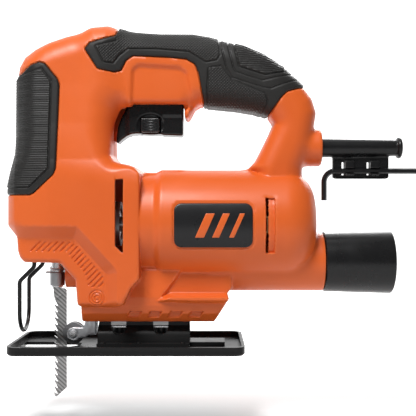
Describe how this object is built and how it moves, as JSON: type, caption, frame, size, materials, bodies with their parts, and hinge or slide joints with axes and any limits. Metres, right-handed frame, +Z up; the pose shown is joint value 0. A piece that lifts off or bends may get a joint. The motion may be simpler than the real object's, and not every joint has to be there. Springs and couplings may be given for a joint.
{
  "type": "corded jigsaw",
  "caption": "Corded D-handle jigsaw: casing halves with rubber grips, trigger, motor, gear and yoke drive, clamped saw blade, guide roller, tilting shoe and dust hose connection",
  "frame": {"origin": "centre of the shoe's flat sole, in the sole's plane", "axes": "+X to the rear (hose and cord end), -X the blade end, +Y the operator's right, +Z up"},
  "size_m": [0.2599, 0.0696, 0.2326],
  "materials": {
    "orange_casing": "fine moulded satin",
    "black_rubber": "matte overmould",
    "black_plastic": "satin moulded",
    "plaque": "gloss",
    "zinc_screw": "zinc plated",
    "cast_metal": "die cast",
    "machined_steel": "turned",
    "blade_steel": "ground",
    "black_oxide": "black oxide",
    "collar_steel": "phosphated",
    "shoe_paint": "semi-gloss black",
    "spring_steel": "bright wire",
    "core_steel": "laminated",
    "copper_wire": "enamelled wire",
    "bronze": "sintered",
    "carbon": "pressed carbon",
    "capacitor_case": "moulded"
  },
  "bodies": {
    "housing": {"left_shell": "orange_casing", "right_shell": "orange_casing", "nose_grip_left": "black_rubber", "nose_grip_right": "black_rubber", "handle_grip_left": "black_rubber", "handle_grip_right": "black_rubber", "badge_left": "plaque", "badge_right": "plaque", "casing_screws": "zinc_screw", "bevel_pad": "cast_metal", "clamp_plate": "machined_steel", "bevel_screws": "zinc_screw", "roller_fork": "cast_metal", "roller_pin": "machined_steel", "gear_case": "cast_metal", "gear_pin": "machined_steel", "upper_bush": "bronze", "lower_bush": "bronze", "front_bearing": "machined_steel", "rear_bearing": "machined_steel", "fan_shroud": "black_plastic", "stator_core": "core_steel", "field_coils": "copper_wire", "brush_holders": "bronze", "brushes": "carbon", "brush_springs": "spring_steel", "switch_body": "black_plastic", "capacitor": "capacitor_case", "cord_guard": "black_rubber", "cord_clamp": "black_plastic", "cord_clamp_screws": "zinc_screw", "dust_duct": "orange_casing", "wire_guard": "black_oxide"},
    "shoe_unit": {"shoe": "shoe_paint", "shoe_bracket": "shoe_paint", "bracket_rivets": "zinc_screw"},
    "trigger_unit": {"trigger": "black_plastic", "trigger_spring": "spring_steel"},
    "lock_button_unit": {"lock_button": "black_plastic", "lock_spring": "spring_steel"},
    "plunger_unit": {"plunger": "machined_steel", "blade": "blade_steel", "clamp_spring": "spring_steel"},
    "clamp_collar_unit": {"clamp_collar": "collar_steel"},
    "guide_roller_unit": {"guide_roller": "machined_steel"},
    "armature": {"armature_shaft": "machined_steel", "armature_core": "core_steel", "armature_windings": "copper_wire", "commutator": "copper_wire", "fan": "black_plastic"},
    "gear_unit": {"drive_gear": "machined_steel", "crank_pin": "machined_steel"},
    "crank_roller_unit": {"crank_roller": "machined_steel"},
    "adapter_unit": {"dust_adapter": "black_plastic"},
    "hex_key_unit": {"hex_key": "black_oxide"}
  },
  "joints": [
    {"name": "bevel_tilt", "type": "hinge", "parent": "housing", "child": "shoe_unit", "pos_m": [0, 0, 0.005], "axis": [1, 0, 0], "range_deg": [-45, 45]},
    {"name": "trigger_pull", "type": "slide", "parent": "housing", "child": "trigger_unit", "axis": [0, 0, 1], "range_m": [0, 0.005], "stiffness_N_per_m": 900, "springref_m": -0.005, "deforming": ["trigger_spring"]},
    {"name": "lock_press", "type": "slide", "parent": "trigger_unit", "child": "lock_button_unit", "axis": [0, 1, 0], "range_m": [0, 0.003], "stiffness_N_per_m": 600, "springref_m": -0.003},
    {"name": "plunger_stroke", "type": "slide", "parent": "housing", "child": "plunger_unit", "axis": [0, 0, 1], "range_m": [-0.014, 0.004]},
    {"name": "collar_twist", "type": "hinge", "parent": "plunger_unit", "child": "clamp_collar_unit", "pos_m": [-0.0461, 0, 0.043], "axis": [0, 0, 1], "range_deg": [0, 60], "stiffness_Nm_per_rad": 0.02, "springref_deg": -17.19},
    {"name": "roller_spin", "type": "hinge", "parent": "housing", "child": "guide_roller_unit", "pos_m": [-0.0354, 0, 0.0093], "axis": [0, 1, 0], "continuous": true},
    {"name": "armature_spin", "type": "hinge", "parent": "housing", "child": "armature", "pos_m": [0, 0, 0.0784], "axis": [1, 0, 0], "continuous": true},
    {"name": "gear_spin", "type": "hinge", "parent": "housing", "child": "gear_unit", "pos_m": [0, 0, 0.1036], "axis": [1, 0, 0], "continuous": true},
    {"name": "crank_roller_spin", "type": "hinge", "parent": "gear_unit", "child": "crank_roller_unit", "pos_m": [0, -0.00748, 0.1086], "axis": [1, 0, 0], "continuous": true},
    {"name": "adapter_pull", "type": "slide", "parent": "housing", "child": "adapter_unit", "axis": [1, 0, 0], "range_m": [0, 0.018]},
    {"name": "key_pull", "type": "slide", "parent": "housing", "child": "hex_key_unit", "axis": [1, 0, 0], "range_m": [0, 0.006]}
  ],
  "couplings": [
    {"joint": "gear_spin", "follows": "armature_spin", "ratio": -0.16667}
  ]
}
